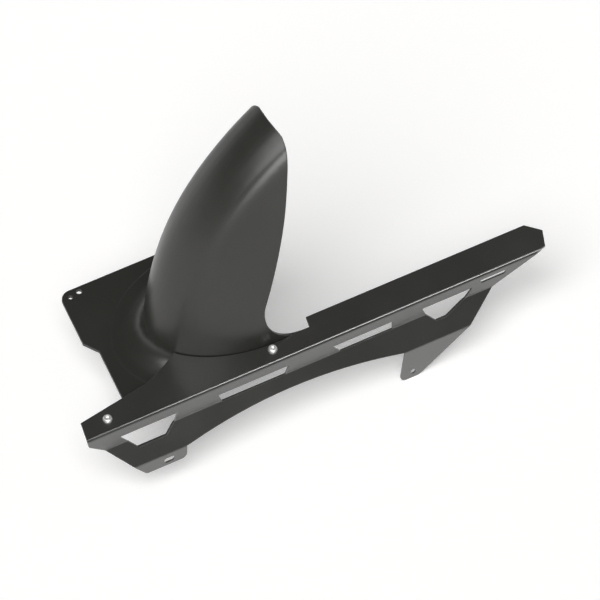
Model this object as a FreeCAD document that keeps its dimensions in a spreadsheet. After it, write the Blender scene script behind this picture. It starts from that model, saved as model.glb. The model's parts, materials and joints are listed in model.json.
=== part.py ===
"""Rear-wheel fender with a chain guard: a moulded shell, a folded sheet guard and their fasteners.

Working axes: X runs rearward along the guard's top fold, Y points across the wheel towards the far
side, Z is up. The drawing datum is the front end of the top fold. The finished pieces are moved so
that the part's origin is the hole in the guard's rear tab, on the tab's outer face.
"""
import FreeCAD, Part
import math
import os

import Sketcher

Vector = FreeCAD.Vector
ALONG_X = Vector(1, 0, 0)
ALONG_Y = Vector(0, 1, 0)
ALONG_Z = Vector(0, 0, 1)

doc = FreeCAD.newDocument("rear_fender")

# Driving dimensions, in millimetres and degrees
SIZES = {
    # Folded guard: section
    "gauge": 2,
    "bend_radius": 1.5,
    "strip_drop": 25,
    "skirt_drop": 21,
    "skirt_out": 21,
    "tab_drop": 44,
    # Folded guard: top panel outline
    "guard_length": 572,
    "panel_width": 41,
    "nose_width": 27,
    "nose_sweep": 6.6,
    "shoulder_x": 94,
    "shoulder_y": 42,
    "peak_x": 152,
    "peak_y": 75,
    "front_sweep_radius": 300,
    "notch_x": 273,
    "notch_width": 11,
    "notch_y": 27,
    "notch_slope": 3.5,
    "tail_lip_x": 9,
    "tail_lip_y": 4,
    "tail_chamfer": 14,
    "tail_corner": 16,
    "tail_fold_x": 549,
    # Folded guard: side outline
    "toe_x": 21,
    "toe_round": 2,
    "front_tab_x": 45,
    "front_tab_end": 108,
    "front_tab_depth": 17,
    "front_tab_taper": 14,
    "rear_tab_x": 375,
    "rear_tab_end": 456,
    "rear_tab_foot": 24,
    "rear_tab_lean": 6,
    "leg_x": 495,
    "edge_radius": 900,
    "corner_radius": 7,
    # Folded guard: windows, slots and holes
    "window_top": 13.5,
    "window_foot": 7.5,
    "front_window_x": 39,
    "front_window_length": 70,
    "mid_window_x": 158,
    "mid_window_length": 86,
    "back_window_x": 298,
    "back_window_length": 73,
    "rear_window_x": 408,
    "rear_window_length": 62,
    "window_lean": 9,
    "tail_slot_x": 496,
    "tail_slot_length": 32,
    "tail_slot_height": 5,
    "tail_slot_drop": 9.5,
    "front_slot_x": 86.7,
    "front_slot_drop": 55.5,
    "front_slot_length": 13,
    "front_slot_height": 7,
    "rear_hole_x": 385.4,
    "rear_hole_drop": 81,
    "rear_hole_diameter": 6.6,
    # Moulded shell: the wheel it wraps and its section
    "wall": 3,
    "wheel_x": 485,
    "wheel_drop": 20,
    "centre_y": 100,
    "crown_radius": 357,
    "tip_radius": 349,
    "arch_base": 242,
    "arch_half_width": 74,
    "crown_half_width": 37,
    "crown_rise": 10,
    "crease": 0.85,
    "wall_end": 200,
    "tip_angle": 53,
    "base_angle": 3.2,
    "skirt_spread": 36,
    "shell_gap": 1,
    # Moulded shell: trimmed rear edge of the side walls
    "waist_x": 233,
    "waist_height": 58,
    "waist_radius": 1100,
    "heel_x": 273,
    "heel_radius": 46,
    "trim_tip_x": 279,
    "trim_tip_height": 262,
    # Moulded shell: flanges
    "plate_step": 20,
    "plate_front": 71,
    "plate_notch": 10,
    "plate_notch_y": 124,
    "plate_notch_run": 18,
    "plate_far": 217,
    "plate_skew": 11,
    "plate_corner": 14,
    "flange_front": 18,
    "flange_margin": 7,
    "flange_inset": 2,
    "small_hole_x": 91,
    "small_hole_y": 207,
    "small_hole_diameter": 4.5,
    "large_hole_x": 103,
    "large_hole_y": 210,
    "large_hole_diameter": 6,
    # Fasteners
    "screw_y": 18,
    "front_screw_x": 34,
    "rear_screw_x": 234,
    "screw_diameter": 6,
    "screw_clearance": 0.4,
    "head_diameter": 10.5,
    "head_height": 3.3,
    "socket_across": 4,
    "socket_depth": 2,
    "screw_tail": 1.4,
    "washer_diameter": 12,
    "washer_thickness": 1.6,
    "nut_across": 10,
    "nut_height": 6,
    "nut_clearance": 0.1,
}

sheet = doc.addObject("Spreadsheet::Sheet", "Sizes")
for row, (alias, value) in enumerate(SIZES.items(), start=1):
    sheet.set(f"A{row}", alias)
    sheet.set(f"B{row}", str(value))
    sheet.setAlias(f"B{row}", alias)
doc.recompute()


def size(alias):
    """The value of one cell of the sheet."""
    return float(sheet.get(alias))


def bound(formula):
    """The formula with every alias in it written as a reference to the sheet."""
    words = formula.replace("(", "( ").replace(")", " )").split()
    return " ".join(f"Sizes.{word}" if word in SIZES else word for word in words)


def number(formula):
    """The present value of a formula of aliases."""
    return float(sheet.evalExpression(bound(formula)))


def origin_plane(body, role):
    """One of the body's own origin planes."""
    return next(item for item in body.Origin.OriginFeatures if item.Role == role)


def new_sketch(body, name, role):
    """An empty sketch on one of the body's origin planes."""
    sketch = body.newObject("Sketcher::SketchObject", name)
    sketch.AttachmentSupport = (origin_plane(body, role), [""])
    sketch.MapMode = "FlatFace"
    return sketch


def bind(sketch, constraint, formula):
    """Adds a constraint and ties it to the sheet."""
    index = sketch.addConstraint(constraint)
    sketch.setExpression(f"Constraints[{index}]", bound(formula))


def flat_arc(start, end, radius):
    """The shorter arc between two points, drawn anticlockwise; a positive radius bulges to the left."""
    across = end - start
    side = Vector(-across.y, across.x, 0).normalize() * math.copysign(1, radius)
    depth = math.sqrt(radius ** 2 - (across.Length / 2) ** 2)
    centre = (start + end) / 2 - side * depth
    first, last = (start, end) if radius < 0 else (end, start)
    angles = [math.atan2((point - centre).y, (point - centre).x) for point in (first, last)]
    return Part.ArcOfCircle(Part.Circle(centre, ALONG_Z, abs(radius)), *angles)


def add_outline(sketch, corners, arcs=None):
    """A closed outline through corners given as formulas; arcs maps a corner to the radius that follows."""
    arcs = arcs or {}
    points = [Vector(number(across), number(up), 0) for across, up in corners]
    first = sketch.GeometryCount
    for index, start in enumerate(points):
        end = points[(index + 1) % len(points)]
        if index in arcs:
            sketch.addGeometry(flat_arc(start, end, number(arcs[index])), False)
        else:
            sketch.addGeometry(Part.LineSegment(start, end), False)
    ends = []
    for index, start in enumerate(points):
        curve = sketch.Geometry[first + index]
        starts_here = (curve.StartPoint - start).Length < (curve.EndPoint - start).Length
        ends.append((1, 2) if starts_here else (2, 1))
    for index, (across, up) in enumerate(corners):
        here = first + index
        following = first + (index + 1) % len(corners)
        after = ends[(index + 1) % len(corners)][0]
        sketch.addConstraint(Sketcher.Constraint("Coincident", here, ends[index][1], following, after))
        bind(sketch, Sketcher.Constraint("DistanceX", here, ends[index][0], points[index].x), across)
        bind(sketch, Sketcher.Constraint("DistanceY", here, ends[index][0], points[index].y), up)
        if index in arcs:
            radius = number(arcs[index])
            bind(sketch, Sketcher.Constraint("Radius", here, abs(radius)), f"abs( {arcs[index]} )")


def add_circle(sketch, across, up, diameter):
    """A circle whose centre and diameter are formulas."""
    centre = Vector(number(across), number(up), 0)
    index = sketch.addGeometry(Part.Circle(centre, ALONG_Z, number(diameter) / 2), False)
    bind(sketch, Sketcher.Constraint("DistanceX", index, 3, centre.x), across)
    bind(sketch, Sketcher.Constraint("DistanceY", index, 3, centre.y), up)
    bind(sketch, Sketcher.Constraint("Diameter", index, number(diameter)), diameter)


def add_slot(sketch, across, up, length, height):
    """A level slot with round ends, centred on a point."""
    left = f"{across} - {length} / 2 + {height} / 2"
    right = f"{across} + {length} / 2 - {height} / 2"
    low = f"{up} - {height} / 2"
    high = f"{up} + {height} / 2"
    # A hair more than half the height keeps each end a solvable arc
    end_radius = f"-1.0001 * {height} / 2"
    add_outline(sketch, [(left, low), (right, low), (right, high), (left, high)],
                {1: end_radius, 3: end_radius})


def pocket(body, name, sketch, length=None):
    """Cuts a sketch through the whole body both ways, or to a depth below its plane."""
    cut = body.newObject("PartDesign::Pocket", name)
    cut.Profile = sketch
    if length is None:
        cut.Type = "ThroughAll"
        cut.Midplane = True
    else:
        cut.setExpression("Length", bound(length))
    sketch.Visibility = False
    doc.recompute()
    return cut


def fillet_edges(body, name, base, radius, chosen):
    """Rounds the edges of a feature that a test picks out."""
    names = [f"Edge{number + 1}" for number, edge in enumerate(base.Shape.Edges) if chosen(edge)]
    rounding = body.newObject("PartDesign::Fillet", name)
    rounding.Base = (base, names)
    rounding.setExpression("Radius", bound(radius))
    doc.recompute()
    return rounding


def place_from_datum(piece):
    """Moves a finished piece so that the rear tab's hole is the origin."""
    piece.setExpression(".Placement.Base.x", bound("-1 * rear_hole_x"))
    piece.setExpression(".Placement.Base.y", bound("skirt_out"))
    piece.setExpression(".Placement.Base.z", bound("rear_hole_drop"))


# Folded guard
FOLD = "gauge * tan( atan( skirt_out / skirt_drop ) / 2 )"
SKIRT_FOOT = "-1 * strip_drop - skirt_drop"
TAB_FOOT = "-1 * strip_drop - skirt_drop - tab_drop"
REACH = "20"


def guard_section(body):
    """The folded section: top panel, upright strip, sloping skirt and hanging tab, drawn full length."""
    sketch = new_sketch(body, "guard_section", "YZ_Plane")
    add_outline(sketch, [
        ("peak_y", "0"),
        ("0", "0"),
        ("0", "-1 * strip_drop"),
        ("-1 * skirt_out", SKIRT_FOOT),
        ("-1 * skirt_out", f"{TAB_FOOT} - gauge"),
        ("gauge - skirt_out", f"{TAB_FOOT} - gauge"),
        ("gauge - skirt_out", f"{SKIRT_FOOT} - {FOLD}"),
        ("gauge", f"-1 * strip_drop - {FOLD}"),
        ("gauge", "-1 * gauge"),
        ("peak_y", "-1 * gauge"),
    ])
    pad = body.newObject("PartDesign::Pad", "guard_sheet")
    pad.Profile = sketch
    pad.setExpression("Length", bound("guard_length"))
    doc.recompute()
    return pad


def round_bends(body, pad):
    """Rounds both faces of the three folds: the outside of each bend is one gauge larger."""
    fold = number(FOLD)
    outside = [(0, 0), (size("gauge"), -size("strip_drop") - fold), (-size("skirt_out"), number(SKIRT_FOOT))]
    inside = [(size("gauge"), -size("gauge")), (0, -size("strip_drop")),
              (size("gauge") - size("skirt_out"), number(SKIRT_FOOT) - fold)]

    def on_lines(lines):
        def chosen(edge):
            centre = edge.CenterOfMass
            near = any(math.hypot(centre.y - y, centre.z - z) < size("gauge") / 4 for y, z in lines)
            return near and edge.Length > size("guard_length") / 2
        return chosen

    first = fillet_edges(body, "bend_outsides", pad, "bend_radius + gauge", on_lines(outside))
    return fillet_edges(body, "bend_insides", first, "bend_radius", on_lines(inside))


def frame_outline(sketch, left, right, low, high):
    """A rectangle that stands clear round an outline, so that what lies between them is cut away."""
    add_outline(sketch, [(left, low), (right, low), (right, high), (left, high)])


def trim_top(body):
    """Cuts the top panel to its outline: swept front, notch beside the shell, straight rear and tail."""
    sketch = new_sketch(body, "top_outline", "XY_Plane")
    frame_outline(sketch, f"-1 * {REACH}", f"guard_length + {REACH}", f"-1 * {REACH}", f"peak_y + {REACH}")
    add_outline(sketch, [
        ("0", "-1 * gauge"),
        ("tail_fold_x", "-1 * gauge"),
        ("tail_fold_x", "0"),
        ("guard_length - tail_lip_x", "tail_lip_y"),
        ("guard_length", "panel_width - tail_corner"),
        ("guard_length - tail_chamfer", "panel_width"),
        ("notch_x + notch_width + notch_slope", "panel_width"),
        ("notch_x + notch_width", "notch_y"),
        ("notch_x", "notch_y"),
        ("notch_x", "peak_y - gauge"),
        ("peak_x", "peak_y - gauge"),
        ("shoulder_x", "shoulder_y"),
        ("nose_sweep", "nose_width"),
        ("0", "0"),
    ], {10: "front_sweep_radius"})
    pocket(body, "top_trim", sketch, "gauge + bend_radius")


def trim_side(body):
    """Cuts the strip, skirt and tabs to their side outline."""
    sketch = new_sketch(body, "side_outline", "XZ_Plane")
    frame_outline(sketch, f"-1 * {REACH}", f"guard_length + {REACH}", f"{TAB_FOOT} - {REACH}", REACH)
    front_foot = f"{SKIRT_FOOT} - front_tab_depth"
    add_outline(sketch, [
        ("0", "gauge"),
        ("0", "0"),
        ("toe_round", "-1 * strip_drop * 2 / 5"),
        ("toe_x", "-1 * strip_drop"),
        ("front_tab_x", SKIRT_FOOT),
        ("front_tab_x + front_tab_taper", front_foot),
        ("front_tab_end", front_foot),
        ("front_tab_end", SKIRT_FOOT),
        ("rear_tab_x", SKIRT_FOOT),
        ("rear_tab_x - rear_tab_lean", TAB_FOOT),
        ("rear_tab_x - rear_tab_lean + rear_tab_foot", TAB_FOOT),
        ("rear_tab_end", SKIRT_FOOT),
        ("leg_x", "-1 * strip_drop"),
        ("tail_fold_x", "-1 * gauge - bend_radius"),
        ("guard_length + gauge", "-1 * gauge - bend_radius"),
        ("guard_length + gauge", "gauge"),
    ], {7: "edge_radius"})
    pocket(body, "side_trim", sketch)


def add_window(sketch, x, length, leans, feet):
    """A window in the strip; with feet it runs on across the lower fold to a shorter bottom edge."""
    top = "-1 * window_top"
    fold = "-1 * strip_drop"
    corners = [(x, top), (f"{x} + {leans[0]}", fold)]
    if feet:
        bottom = "-1 * strip_drop - window_foot"
        corners += [(f"{x} + {feet[0]}", bottom), (f"{x} + {length} - {feet[1]}", bottom)]
    corners += [(f"{x} + {length} - {leans[1]}", fold), (f"{x} + {length}", top)]
    add_outline(sketch, corners)


def cut_openings(body):
    """The four windows, the tail slot, the mounting slot and hole, and the two screw holes."""
    sketch = new_sketch(body, "side_openings", "XZ_Plane")
    add_window(sketch, "front_window_x", "front_window_length", ("window_lean", "window_lean / 2"),
               ("2 * window_lean", "2 * window_lean"))
    add_window(sketch, "mid_window_x", "mid_window_length", ("window_lean / 2", "window_lean / 2"), None)
    add_window(sketch, "back_window_x", "back_window_length", ("window_lean", "0"), None)
    add_window(sketch, "rear_window_x", "rear_window_length", ("window_lean / 2", "window_lean"),
               ("window_lean * 3 / 2", "4 * window_lean"))
    add_slot(sketch, "tail_slot_x", "-1 * tail_slot_drop", "tail_slot_length", "tail_slot_height")
    add_slot(sketch, "front_slot_x", "-1 * front_slot_drop", "front_slot_length", "front_slot_height")
    add_circle(sketch, "rear_hole_x", "-1 * rear_hole_drop", "rear_hole_diameter")
    pocket(body, "side_cuts", sketch)
    holes = new_sketch(body, "screw_holes", "XY_Plane")
    for x in ("front_screw_x", "rear_screw_x"):
        add_circle(holes, x, "screw_y", "screw_diameter + screw_clearance")
    return pocket(body, "screw_cuts", holes, "2 * gauge")


def round_tabs(body, base):
    """Rounds the lower corners of the two tabs."""
    limit = number(SKIRT_FOOT) - size("front_tab_depth") / 2

    def tab_corner(edge):
        line = edge.Curve.TypeId == "Part::GeomLine"
        across = line and abs(edge.Curve.Direction.y) > 0.99
        return across and edge.CenterOfMass.z < limit and not hole_seam(edge)

    def hole_seam(edge):
        centre = edge.CenterOfMass
        rear = math.hypot(centre.x - size("rear_hole_x"), centre.z + size("rear_hole_drop"))
        front = math.hypot(centre.x - size("front_slot_x"), centre.z + size("front_slot_drop"))
        return rear < size("rear_hole_diameter") or front < size("front_slot_length")

    return fillet_edges(body, "tab_corners", base, "corner_radius", tab_corner)


def base_ellipse(grow, low, high):
    """An upright prism on the shell's elliptical footprint, grown by a margin."""
    centre = Vector(size("wheel_x") - size("arch_base"), size("centre_y"), low)
    across = size("arch_half_width") + grow
    along = size("crown_radius") - size("arch_base") + grow
    curve = Part.Ellipse(centre + ALONG_X * along, centre + ALONG_Y * across, centre)
    return Part.Face(Part.Wire(curve.toShape())).extrude(ALONG_Z * (high - low))


def make_guard():
    """The whole folded guard, with its top panel cut back round the shell."""
    body = doc.addObject("PartDesign::Body", "guard_body")
    pad = guard_section(body)
    round_bends(body, pad)
    trim_top(body)
    trim_side(body)
    cuts = cut_openings(body)
    round_tabs(body, cuts)
    clearance = doc.addObject("Part::Feature", "shell_clearance")
    margin = size("gauge")
    footprint = base_ellipse(size("shell_gap"), -size("gauge") - margin, margin)
    keep_rear = Part.makeBox(size("guard_length"), size("guard_length"), size("guard_length"),
                             Vector(size("notch_x"), 0, -size("guard_length") / 2))
    clearance.Shape = footprint.cut(keep_rear)
    guard = doc.addObject("Part::Cut", "chain_guard")
    guard.Base = body
    guard.Tool = clearance
    return guard


# Moulded shell
SECTION_POINTS = 21
FLARE_STEPS = (0, 0.03, 0.12, 0.3, 0.6, 1)
ARCH_SECTIONS = 7
CREASE_TURN = math.radians(42)
NEAR_FADE = (math.radians(-62), math.radians(-28))


def ease(value, start, end):
    """Runs smoothly from 0 at start to 1 at end."""
    share = min(max((value - start) / (end - start), 0), 1)
    return share * share * (3 - 2 * share)


def wheel_point(angle, across, radius):
    """A point in the radial plane at an angle above the wheel's forward horizon."""
    return Vector(size("wheel_x") - radius * math.cos(angle), size("centre_y") + across,
                  -size("wheel_drop") + radius * math.sin(angle))


def arch_point(turn, crown, crease, flare):
    """One point of the arched section, as (across, radius); turn runs from one side wall to the other.

    The section is an ellipse that sharpens into a flat crown, a crease and sloping walls as crease
    grows. Flare spreads it into the skirt that runs out on the plate, and fades on the chain side.
    """
    spread = flare * size("skirt_spread") * ease(turn, *NEAR_FADE)
    rise = crown - size("arch_base")
    side = math.copysign(1, turn)
    round_across = (size("arch_half_width") + spread) * math.sin(turn)
    round_radius = size("arch_base") + (rise + spread) * math.cos(turn)
    if abs(turn) < CREASE_TURN:
        share = abs(turn) / CREASE_TURN
        flat_across = side * share * size("crown_half_width")
        flat_radius = crown - size("crown_rise") * share ** 2
    else:
        share = (abs(turn) - CREASE_TURN) / (math.pi / 2 - CREASE_TURN)
        flat_across = side * (size("crown_half_width") * (1 - share) + size("arch_half_width") * share)
        flat_radius = (crown - size("crown_rise")) * (1 - share) + size("arch_base") * share
    return (round_across * (1 - crease) + flat_across * crease,
            round_radius * (1 - crease) + flat_radius * crease)


def section_wire(angle, crown, crease, flare, inset, foot):
    """A closed radial section of the shell's outside, or of its hollow when inset by the wall."""
    turns = [math.pi * (step / (SECTION_POINTS - 1) - 0.5) for step in range(SECTION_POINTS)]
    outside = [Vector(*arch_point(turn, crown, crease, flare), 0) for turn in turns]
    curve = Part.BSplineCurve()
    curve.interpolate(outside)
    points = []
    for point in outside:
        tangent = curve.tangent(curve.parameter(point))[0]
        points.append(point + Vector(tangent.y, -tangent.x, 0) * inset)
    arch = Part.BSplineCurve()
    arch.interpolate([wheel_point(angle, point.x, point.y) for point in points])
    left = wheel_point(angle, points[0].x, foot)
    right = wheel_point(angle, points[-1].x, foot)
    start, end = arch.StartPoint, arch.EndPoint
    return Part.Wire([arch.toShape(), Part.makeLine(end, right), Part.makeLine(right, left),
                      Part.makeLine(left, start)])


def shell_solid(inset, foot, overrun):
    """The lofted arch, filled in: flared skirt below the base, then radial sections up to the tip."""
    crown = size("crown_radius")
    plate_top = -size("gauge") - size("plate_step")
    low = math.asin((plate_top - inset + size("wheel_drop")) / (crown + size("skirt_spread")))
    base = math.radians(size("base_angle"))
    tip = math.radians(size("tip_angle"))
    buried = math.asin((plate_top - 2 * size("wall") + size("wheel_drop")) / crown)
    skirt = [section_wire(buried - overrun, crown, 0, 1, inset, foot)]
    for step in FLARE_STEPS:
        flare = 1 - math.sqrt(1 - (1 - step) ** 2)
        skirt.append(section_wire(low + (base - low) * step, crown, 0, flare, inset, foot))
    arch = []
    for number_up in range(ARCH_SECTIONS):
        step = number_up / (ARCH_SECTIONS - 1)
        crease = size("crease") * ease(step, 0, 0.6)
        radius = crown + (size("tip_radius") - crown) * step ** 2
        arch.append(section_wire(base + (tip + overrun - base) * step, radius, crease, 0, inset, foot))
    return Part.makeLoft(skirt, True).fuse(Part.makeLoft(arch, True))


def prism(corners, low, high):
    """An upright prism on a plan outline."""
    points = [Vector(x, y, low) for x, y in corners]
    return Part.Face(Part.makePolygon(points + points[:1])).extrude(ALONG_Z * (high - low))


def guard_edge(inset):
    """The guard's front inner edge, moved under the panel by an inset: peak, shoulder and nose."""
    return [(size("peak_x"), size("peak_y") - inset), (size("shoulder_x"), size("shoulder_y") - inset),
            (size("flange_front"), size("nose_width") - inset)]


def near_flange():
    """The flange under the guard's top panel, and the step that drops from its front to the plate."""
    top = -size("gauge")
    inset = size("flange_inset")
    heel = size("heel_x")
    outline = [(size("flange_front"), size("flange_margin")), (heel, size("flange_margin")),
               (heel, size("centre_y") - size("arch_half_width") / 2)] + guard_edge(inset)
    flange = prism(outline, top - size("wall"), top)
    step = guard_edge(inset) + guard_edge(inset + size("wall"))[::-1]
    front = Part.makeBox(size("plate_front") - size("wall"), size("plate_far"), size("plate_far"),
                         Vector(0, 0, -size("plate_far") / 2))
    upright = prism(step, top - size("plate_step") - size("wall"), top).cut(front)
    return flange.fuse(upright)


def plate():
    """The low flange: notched front edge, rounded far corners and two mounting holes."""
    top = -size("gauge") - size("plate_step")
    front, far, heel = size("plate_front"), size("plate_far"), size("heel_x")
    notch_y = size("plate_notch_y")
    edge = guard_edge(size("flange_inset") + size("wall") / 2)
    outline = [(front - size("wall"), edge[1][1] - size("wall")), edge[1], edge[0],
               (heel, size("centre_y")), (heel, far), (front + size("plate_skew"), far),
               (front, notch_y + size("plate_notch_run")), (front + size("plate_notch"), notch_y)]
    slab = prism(outline, top - size("wall"), top)
    corners = [edge for edge in slab.Edges if edge.BoundBox.YMin > far - 1 and edge.BoundBox.XLength < 1
               and edge.BoundBox.YLength < 1]
    slab = slab.makeFillet(size("plate_corner"), corners)
    for name in ("small", "large"):
        centre = Vector(size(f"{name}_hole_x"), size(f"{name}_hole_y"), top - 2 * size("wall"))
        slab = slab.cut(Part.makeCylinder(size(f"{name}_hole_diameter") / 2, 3 * size("wall"), centre))
    return slab


def rear_trim():
    """What is cut off behind the side walls: a long edge, a round heel and a square end."""
    far = size("guard_length")
    waist = Vector(size("waist_x"), 0, size("waist_height"))
    tip = Vector(size("trim_tip_x"), 0, size("trim_tip_height"))
    heel = Vector(size("heel_x"), 0, -size("gauge"))
    low = Vector(heel.x, 0, -far)
    high = Vector(tip.x, 0, far)
    back = [Vector(far, 0, far), Vector(far, 0, -far)]
    bow = size("waist_radius") - math.sqrt(size("waist_radius") ** 2 - (tip - waist).Length ** 2 / 4)
    lean = (tip - waist).cross(ALONG_Y).normalize()
    long_edge = Part.Arc(waist, (tip + waist) / 2 - lean * bow, tip)
    sag = size("heel_radius") - math.sqrt(size("heel_radius") ** 2 - (heel - waist).Length ** 2 / 4)
    fall = (heel - waist).cross(ALONG_Y).normalize()
    heel_edge = Part.Arc(heel, (heel + waist) / 2 - fall * sag, waist)
    edges = [long_edge.toShape(), Part.makeLine(tip, high), Part.makeLine(high, back[0]),
             Part.makeLine(back[0], back[1]), Part.makeLine(back[1], low), Part.makeLine(low, heel),
             heel_edge.toShape()]
    return Part.Face(Part.Wire(edges)).extrude(ALONG_Y * far)


def make_shell():
    """The moulded fender in one piece: arched shell, plate, chain-side flange and screw holes."""
    wall = size("wall")
    overrun = wall / size("crown_radius")
    outside = shell_solid(0, size("wall_end"), 0)
    hollow = shell_solid(wall, size("wall_end") - size("arch_half_width"), overrun)
    under_flange = Part.makeBox(size("heel_x"), size("centre_y") - size("arch_half_width") / 2,
                                size("plate_far"), Vector(size("peak_x"), 0, -size("gauge") - wall))
    under_flange.translate(-ALONG_Z * size("plate_far"))
    moulding = outside.cut(under_flange).fuse([plate(), near_flange()])
    moulding = moulding.cut([hollow, rear_trim()])
    for name in ("front", "rear"):
        centre = Vector(size(f"{name}_screw_x"), size("screw_y"), -size("gauge") - 2 * wall)
        radius = (size("screw_diameter") + size("screw_clearance")) / 2
        moulding = moulding.cut(Part.makeCylinder(radius, 3 * wall, centre))
    shell = doc.addObject("Part::Feature", "fender_shell")
    shell.Shape = moulding
    return shell


# Fasteners
FLANGE_UNDERSIDE = "-1 * gauge - wall"
SCREWS = ("front_screw_x", "rear_screw_x")


def revolved(name, corners, arcs=None):
    """A body turned about the upright axis from a half section."""
    body = doc.addObject("PartDesign::Body", name)
    sketch = new_sketch(body, f"{name}_section", "XZ_Plane")
    add_outline(sketch, corners, arcs)
    turned = body.newObject("PartDesign::Revolution", f"{name}_turned")
    turned.Profile = sketch
    turned.ReferenceAxis = (sketch, ["V_Axis"])
    turned.Angle = 360
    doc.recompute()
    return body


def hexagon(body, name, across):
    """A regular hexagon about the axis, given the distance across its flats."""
    sketch = new_sketch(body, name, "XY_Plane")
    flat = f"{across} / 2"
    half = f"{across} / 2 * tan( 30 )"
    point = f"{across} / 2 / cos( 30 )"
    add_outline(sketch, [(flat, f"-1 * {half}"), (flat, half), ("0", point), (f"-1 * {flat}", half),
                         (f"-1 * {flat}", f"-1 * {half}"), ("0", f"-1 * {point}")])
    return sketch


def screw_body():
    """A dome-headed screw with a hexagon socket, its head seated on the guard."""
    body = revolved("screw", [
        ("0", "head_height"),
        ("0", f"{FLANGE_UNDERSIDE} - washer_thickness - nut_height - screw_tail"),
        ("screw_diameter / 2", f"{FLANGE_UNDERSIDE} - washer_thickness - nut_height - screw_tail"),
        ("screw_diameter / 2", "0"),
        ("head_diameter / 2", "0"),
        ("head_diameter / 2", "head_height / 5"),
        ("socket_across", "head_height"),
    ], {5: "-1 * head_diameter / 2"})
    sketch = hexagon(body, "screw_socket", "socket_across")
    sketch.AttachmentOffset = FreeCAD.Placement(Vector(0, 0, size("head_height")), FreeCAD.Rotation())
    sketch.setExpression(".AttachmentOffset.Base.z", bound("head_height"))
    pocket(body, "screw_socket_cut", sketch, "socket_depth")
    return body


def washer_body():
    """A plain washer under the flange."""
    hole = "screw_diameter / 2 + screw_clearance / 2"
    low = f"{FLANGE_UNDERSIDE} - washer_thickness"
    return revolved("washer", [(hole, low), ("washer_diameter / 2", low),
                               ("washer_diameter / 2", FLANGE_UNDERSIDE), (hole, FLANGE_UNDERSIDE)])


def nut_body():
    """A hexagon lock nut on the screw's tail."""
    body = doc.addObject("PartDesign::Body", "nut")
    sketch = hexagon(body, "nut_hexagon", "nut_across")
    add_circle(sketch, "0", "0", "screw_diameter + nut_clearance")
    place = f"{FLANGE_UNDERSIDE} - washer_thickness - nut_height"
    sketch.AttachmentOffset = FreeCAD.Placement(Vector(0, 0, number(place)), FreeCAD.Rotation())
    sketch.setExpression(".AttachmentOffset.Base.z", bound(place))
    pad = body.newObject("PartDesign::Pad", "nut_pad")
    pad.Profile = sketch
    pad.setExpression("Length", bound("nut_height"))
    doc.recompute()
    return body


def at_both_screws(body, name):
    """Two copies of a fastener, one at each screw hole, as one group of solids."""
    group = doc.addObject("Part::Feature", name)
    places = [Vector(size(x), size("screw_y"), 0) for x in SCREWS]
    group.Shape = Part.makeCompound([body.Shape.translated(place) for place in places])
    return group


PIECES = {
    "chain_guard": make_guard(),
    "fender_shell": make_shell(),
    "button_screws": at_both_screws(screw_body(), "button_screws"),
    "washers": at_both_screws(washer_body(), "washers"),
    "lock_nuts": at_both_screws(nut_body(), "lock_nuts"),
}
for label, piece in PIECES.items():
    piece.Label = label
    place_from_datum(piece)
doc.recompute()

for item in doc.Objects:
    if "Invalid" in item.State or "Error" in item.State:
        raise RuntimeError(f"{item.Label} failed: {item.State}")
for label, piece in PIECES.items():
    if piece.Shape.isNull() or not piece.Shape.isValid():
        raise RuntimeError(f"{label} has no valid shape")

os.makedirs("parts", exist_ok=True)
for label, piece in PIECES.items():
    piece.Shape.exportStep(f"parts/{label}.step")
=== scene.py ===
"""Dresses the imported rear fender: materials, studio light, floor and the photograph's camera."""

import json
import math

import bpy
from mathutils import Matrix, Vector

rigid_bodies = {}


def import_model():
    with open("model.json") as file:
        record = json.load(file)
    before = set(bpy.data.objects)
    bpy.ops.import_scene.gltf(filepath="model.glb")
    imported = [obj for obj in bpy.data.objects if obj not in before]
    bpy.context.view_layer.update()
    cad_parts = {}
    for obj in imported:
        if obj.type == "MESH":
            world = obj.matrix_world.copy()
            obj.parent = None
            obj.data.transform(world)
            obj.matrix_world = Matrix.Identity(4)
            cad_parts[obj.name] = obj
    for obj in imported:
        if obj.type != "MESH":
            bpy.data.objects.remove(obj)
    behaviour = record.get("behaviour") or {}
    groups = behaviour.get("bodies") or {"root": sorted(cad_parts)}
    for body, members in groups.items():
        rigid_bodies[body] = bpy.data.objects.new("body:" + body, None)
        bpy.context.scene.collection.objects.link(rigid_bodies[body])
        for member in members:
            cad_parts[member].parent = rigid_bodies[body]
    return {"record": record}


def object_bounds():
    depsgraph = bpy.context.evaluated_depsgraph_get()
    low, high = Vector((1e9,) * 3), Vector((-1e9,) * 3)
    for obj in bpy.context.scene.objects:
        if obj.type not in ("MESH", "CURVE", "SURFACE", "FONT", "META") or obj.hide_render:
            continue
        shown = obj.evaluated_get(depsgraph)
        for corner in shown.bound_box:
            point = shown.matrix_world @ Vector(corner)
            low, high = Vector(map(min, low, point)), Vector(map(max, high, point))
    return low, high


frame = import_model()
cad_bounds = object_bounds()

# The photograph's camera: nearly parallel, found from the guard's straight edges
AZIMUTH = math.radians(29.5)
ELEVATION = math.radians(48)
FRAME_WIDTH = 0.6316
IMAGE_SIZE = 600
# The front end of the guard's top fold, in the part's frame and in the photograph
DATUM = Vector((-0.3854, 0.021, 0.081))
DATUM_PIXEL = (87.3, 442.4)
CAMERA_DISTANCE = 8.0
SENSOR = 36.0
# What the camera and reflections see on the floor beyond the light that falls on it
FLOOR_LIFT = 0.32
# The room's brightness at two heights of the sky, from level (0) to overhead (1)
SKY = ((0.02, 0.9), (0.32, 0.08))
FLOOR_HALF = 30
BEVEL_SAMPLES = 6
# How far an edge's rounded normal turns from the face, as a cosine, where the painted edge highlight is full
# and where there is none
PAINTED_HIGHLIGHT_FULL, PAINTED_HIGHLIGHT_NONE = 0.80, 0.97
# The colour sockets of Blender's Mix node, which share their names with its other kinds
MIX_FACTOR, MIX_FIRST, MIX_SECOND, MIX_RESULT = 0, 6, 7, 2


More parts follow.
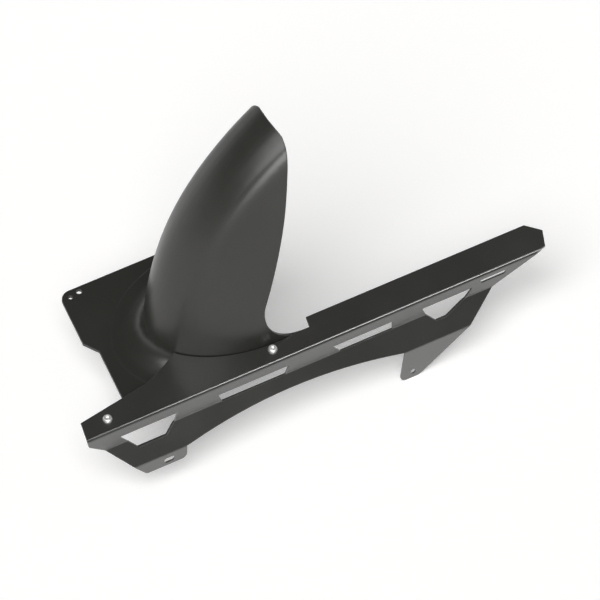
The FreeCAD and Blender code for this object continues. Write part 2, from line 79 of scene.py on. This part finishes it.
def make_camera():
    """A long lens at the photograph's viewing angle, aimed so that the datum falls on its pixel."""
    right = Vector((math.cos(AZIMUTH), -math.sin(AZIMUTH), 0))
    up = Vector((math.sin(AZIMUTH) * math.sin(ELEVATION), math.cos(AZIMUTH) * math.sin(ELEVATION),
                 math.cos(ELEVATION)))
    back = right.cross(up)
    scale = FRAME_WIDTH / IMAGE_SIZE
    across = (IMAGE_SIZE / 2 - DATUM_PIXEL[0]) * scale
    above = (DATUM_PIXEL[1] - IMAGE_SIZE / 2) * scale
    target = DATUM + right * across + up * above
    camera = bpy.data.cameras.new("camera")
    camera.sensor_width = SENSOR
    camera.lens = SENSOR * CAMERA_DISTANCE / FRAME_WIDTH
    camera.clip_end = 100
    eye = bpy.data.objects.new("camera", camera)
    eye.matrix_world = Matrix.Translation(target + back * CAMERA_DISTANCE) @ Matrix(
        (right, up, back)).transposed().to_4x4()
    bpy.context.collection.objects.link(eye)
    bpy.context.scene.camera = eye


class Nodes:
    """A material's node tree, with short ways to add and join its nodes."""

    def __init__(self, name):
        self.material = bpy.data.materials.new(name)
        self.material.use_nodes = True
        self.tree = self.material.node_tree
        self.shader = self.tree.nodes["Principled BSDF"]

    def add(self, kind, **values):
        """A new node with some of its inputs set."""
        node = self.tree.nodes.new(kind)
        for name, value in values.items():
            node.inputs[name].default_value = value
        return node

    def join(self, source, output, target, socket):
        """A link from one node's output to another's input."""
        self.tree.links.new(source.outputs[output], target.inputs[socket])

    def noise(self, scale, detail):
        """Noise in the object's own coordinates, which are metres in the part's frame."""
        place = self.add("ShaderNodeTexCoord")
        texture = self.add("ShaderNodeTexNoise", Scale=scale, Detail=detail)
        self.join(place, "Object", texture, "Vector")
        return texture

    def ramp(self, source, output, stops):
        """A colour ramp over a value, from (place, colour) pairs."""
        ramp = self.add("ShaderNodeValToRGB")
        elements = ramp.color_ramp.elements
        while len(elements) < len(stops):
            elements.new(0.5)
        for element, (place, colour) in zip(elements, stops):
            element.position = place
            element.color = (*colour, 1)
        self.join(source, output, ramp, "Fac")
        return ramp

    def range(self, source, output, low, high):
        """A value from 0 to 1 stretched between two others."""
        spread = self.add("ShaderNodeMapRange", **{"To Min": low, "To Max": high})
        self.join(source, output, spread, "Value")
        return spread

    def bump(self, height, output, strength, distance, under):
        """Bump from a height, on top of another node's normal."""
        bump = self.add("ShaderNodeBump", Strength=strength, Distance=distance)
        self.join(height, output, bump, "Height")
        self.join(under, "Normal", bump, "Normal")
        return bump


def painted_edge_highlight(nodes, colour_source, highlight_colour, radius):
    """Paints a highlight along sharp edges by lightening a colour there, and gives their rounded normal."""
    shape = nodes.add("ShaderNodeNewGeometry")
    soft = nodes.add("ShaderNodeBevel", Radius=radius)
    soft.samples = BEVEL_SAMPLES
    turn = nodes.add("ShaderNodeVectorMath")
    turn.operation = "DOT_PRODUCT"
    nodes.tree.links.new(shape.outputs["Normal"], turn.inputs[0])
    nodes.tree.links.new(soft.outputs["Normal"], turn.inputs[1])
    # The painted highlight's mask: lighter colour where the rounded normal turns away from the face
    painted_highlight_mask = nodes.ramp(turn, "Value", [(PAINTED_HIGHLIGHT_FULL, (1, 1, 1)), (PAINTED_HIGHLIGHT_NONE, (0, 0, 0))])
    mix = nodes.add("ShaderNodeMix")
    mix.data_type = "RGBA"
    nodes.tree.links.new(painted_highlight_mask.outputs["Color"], mix.inputs[MIX_FACTOR])
    nodes.tree.links.new(colour_source.outputs["Color"], mix.inputs[MIX_FIRST])
    mix.inputs[MIX_SECOND].default_value = (*highlight_colour, 1)
    nodes.tree.links.new(mix.outputs[MIX_RESULT], nodes.shader.inputs["Base Color"])
    return soft


def shell_plastic():
    """Satin black moulded plastic with a fine grain and faint flow marks."""
    nodes = Nodes("shell_plastic")
    cloud = nodes.noise(9, 4)
    colour = nodes.ramp(cloud, "Fac", [(0.3, (0.022, 0.022, 0.019)), (0.7, (0.028, 0.028, 0.025))])
    # A painted highlight: lighter colour along the sharp edges
    soft = painted_edge_highlight(nodes, colour, (0.09, 0.09, 0.088), 0.0018)
    gloss = nodes.range(cloud, "Fac", 0.28, 0.33)
    nodes.join(gloss, "Result", nodes.shader, "Roughness")
    nodes.shader.inputs["Specular IOR Level"].default_value = 0.5
    ripple = nodes.bump(cloud, "Fac", 0.06, 0.004, soft)
    fine = nodes.bump(nodes.noise(2600, 2), "Fac", 0.08, 0.0002, ripple)
    nodes.join(fine, "Normal", nodes.shader, "Normal")
    return nodes.material


def guard_coat():
    """Black powder coat on folded sheet: even colour, slight orange peel, a painted highlight along the
    edges.
    """
    nodes = Nodes("guard_coat")
    cloud = nodes.noise(14, 3)
    colour = nodes.ramp(cloud, "Fac", [(0.3, (0.020, 0.020, 0.017)), (0.7, (0.026, 0.026, 0.023))])
    # A painted highlight: lighter colour along the sharp edges
    soft = painted_edge_highlight(nodes, colour, (0.11, 0.11, 0.105), 0.0007)
    gloss = nodes.range(cloud, "Fac", 0.28, 0.35)
    nodes.join(gloss, "Result", nodes.shader, "Roughness")
    nodes.shader.inputs["Specular IOR Level"].default_value = 1
    nodes.shader.inputs["Coat Weight"].default_value = 1
    nodes.shader.inputs["Coat Roughness"].default_value = 0.12
    skin = nodes.bump(nodes.noise(900, 2), "Fac", 0.06, 0.0003, soft)
    nodes.join(skin, "Normal", nodes.shader, "Normal")
    return nodes.material


def fastener_steel():
    """Bright zinc-plated steel with a turned grain."""
    nodes = Nodes("fastener_steel")
    cloud = nodes.noise(400, 3)
    colour = nodes.ramp(cloud, "Fac", [(0.3, (0.74, 0.74, 0.73)), (0.7, (0.84, 0.84, 0.83))])
    # A painted highlight: lighter colour along the sharp edges
    soft = painted_edge_highlight(nodes, colour, (0.92, 0.92, 0.91), 0.0003)
    nodes.shader.inputs["Metallic"].default_value = 1
    gloss = nodes.range(cloud, "Fac", 0.42, 0.55)
    nodes.join(gloss, "Result", nodes.shader, "Roughness")
    marks = nodes.bump(cloud, "Fac", 0.1, 0.0002, soft)
    nodes.join(marks, "Normal", nodes.shader, "Normal")
    return nodes.material


def dress():
    """Gives each CAD node the material of its slot in the record."""
    makers = {"shell_plastic": shell_plastic, "guard_coat": guard_coat, "fastener_steel": fastener_steel}
    finishes = {slot: make() for slot, make in makers.items()}
    for subpart in frame["record"]["subparts"]:
        piece = bpy.data.objects[subpart["node"]]
        piece.data.materials.clear()
        piece.data.materials.append(finishes[subpart["material_slot"]])


def make_floor():
    """A wide floor under the lowest point of the part, white to the camera, which keeps the soft shadows."""
    low = cad_bounds[0][2]
    half = FLOOR_HALF
    mesh = bpy.data.meshes.new("floor")
    corners = [(-half, -half, low), (half, -half, low), (half, half, low), (-half, half, low)]
    mesh.from_pydata(corners, [], [(0, 1, 2, 3)])
    floor = bpy.data.objects.new("floor", mesh)
    nodes = Nodes("floor_white")
    nodes.shader.inputs["Base Color"].default_value = (0.80, 0.795, 0.785, 1)
    nodes.shader.inputs["Roughness"].default_value = 1
    nodes.shader.inputs["Specular IOR Level"].default_value = 0
    nodes.shader.inputs["Emission Color"].default_value = (1, 1, 1, 1)
    path = nodes.add("ShaderNodeLightPath")
    seen = path.outputs["Is Camera Ray"]
    for kind in ("Is Glossy Ray", "Is Transmission Ray"):
        either = nodes.add("ShaderNodeMath")
        either.operation = "MAXIMUM"
        nodes.tree.links.new(seen, either.inputs[0])
        nodes.tree.links.new(path.outputs[kind], either.inputs[1])
        seen = either.outputs["Value"]
    lift = nodes.add("ShaderNodeMath")
    lift.operation = "MULTIPLY"
    lift.inputs[1].default_value = FLOOR_LIFT
    nodes.tree.links.new(seen, lift.inputs[0])
    nodes.tree.links.new(lift.outputs["Value"], nodes.shader.inputs["Emission Strength"])
    floor.data.materials.append(nodes.material)
    bpy.context.collection.objects.link(floor)


def add_sun(name, towards, strength, angle):
    """A broad distant lamp in a direction seen from the part, which lights the floor evenly."""
    lamp = bpy.data.lights.new(name, "SUN")
    lamp.energy = strength
    lamp.angle = math.radians(angle)
    holder = bpy.data.objects.new(name, lamp)
    holder.rotation_euler = Vector(towards).to_track_quat("Z", "Y").to_euler()
    bpy.context.collection.objects.link(holder)


def add_card(name, place, aim, size, power):
    """A square lamp aimed at a point, seen only as a highlight in glossy faces: it throws no shadow."""
    lamp = bpy.data.lights.new(name, "AREA")
    lamp.size = size
    lamp.energy = power
    holder = bpy.data.objects.new(name, lamp)
    holder.location = place
    holder.visible_diffuse = False
    holder.rotation_euler = (Vector(aim) - Vector(place)).to_track_quat("-Z", "Y").to_euler()
    bpy.context.collection.objects.link(holder)


def make_light():
    """A room that is light low down and dim overhead, with one broad lamp and two cards."""
    world = bpy.data.worlds.new("studio")
    bpy.context.scene.world = world
    world.use_nodes = True
    tree = world.node_tree
    place = tree.nodes.new("ShaderNodeTexCoord")
    axes = tree.nodes.new("ShaderNodeSeparateXYZ")
    sky = tree.nodes.new("ShaderNodeValToRGB")
    for element, (height, grey) in zip(sky.color_ramp.elements, SKY):
        element.position = height
        element.color = (grey, grey, grey, 1)
    tree.links.new(place.outputs["Generated"], axes.inputs["Vector"])
    tree.links.new(axes.outputs["Z"], sky.inputs["Fac"])
    tree.links.new(sky.outputs["Color"], tree.nodes["Background"].inputs["Color"])
    add_sun("key", towards=(-0.46, -0.38, 0.8), strength=2.95, angle=52)
    add_card("side_card", place=(-0.9, -2.4, 0.95), aim=(-0.18, 0.1, 0.2), size=1.1, power=34)
    add_card("top_card", place=(0.85, -0.05, 2.6), aim=(-0.1, 0.08, 0.1), size=0.7, power=20)
    bpy.context.scene.view_settings.view_transform = "Standard"


make_camera()
dress()
make_floor()
make_light()
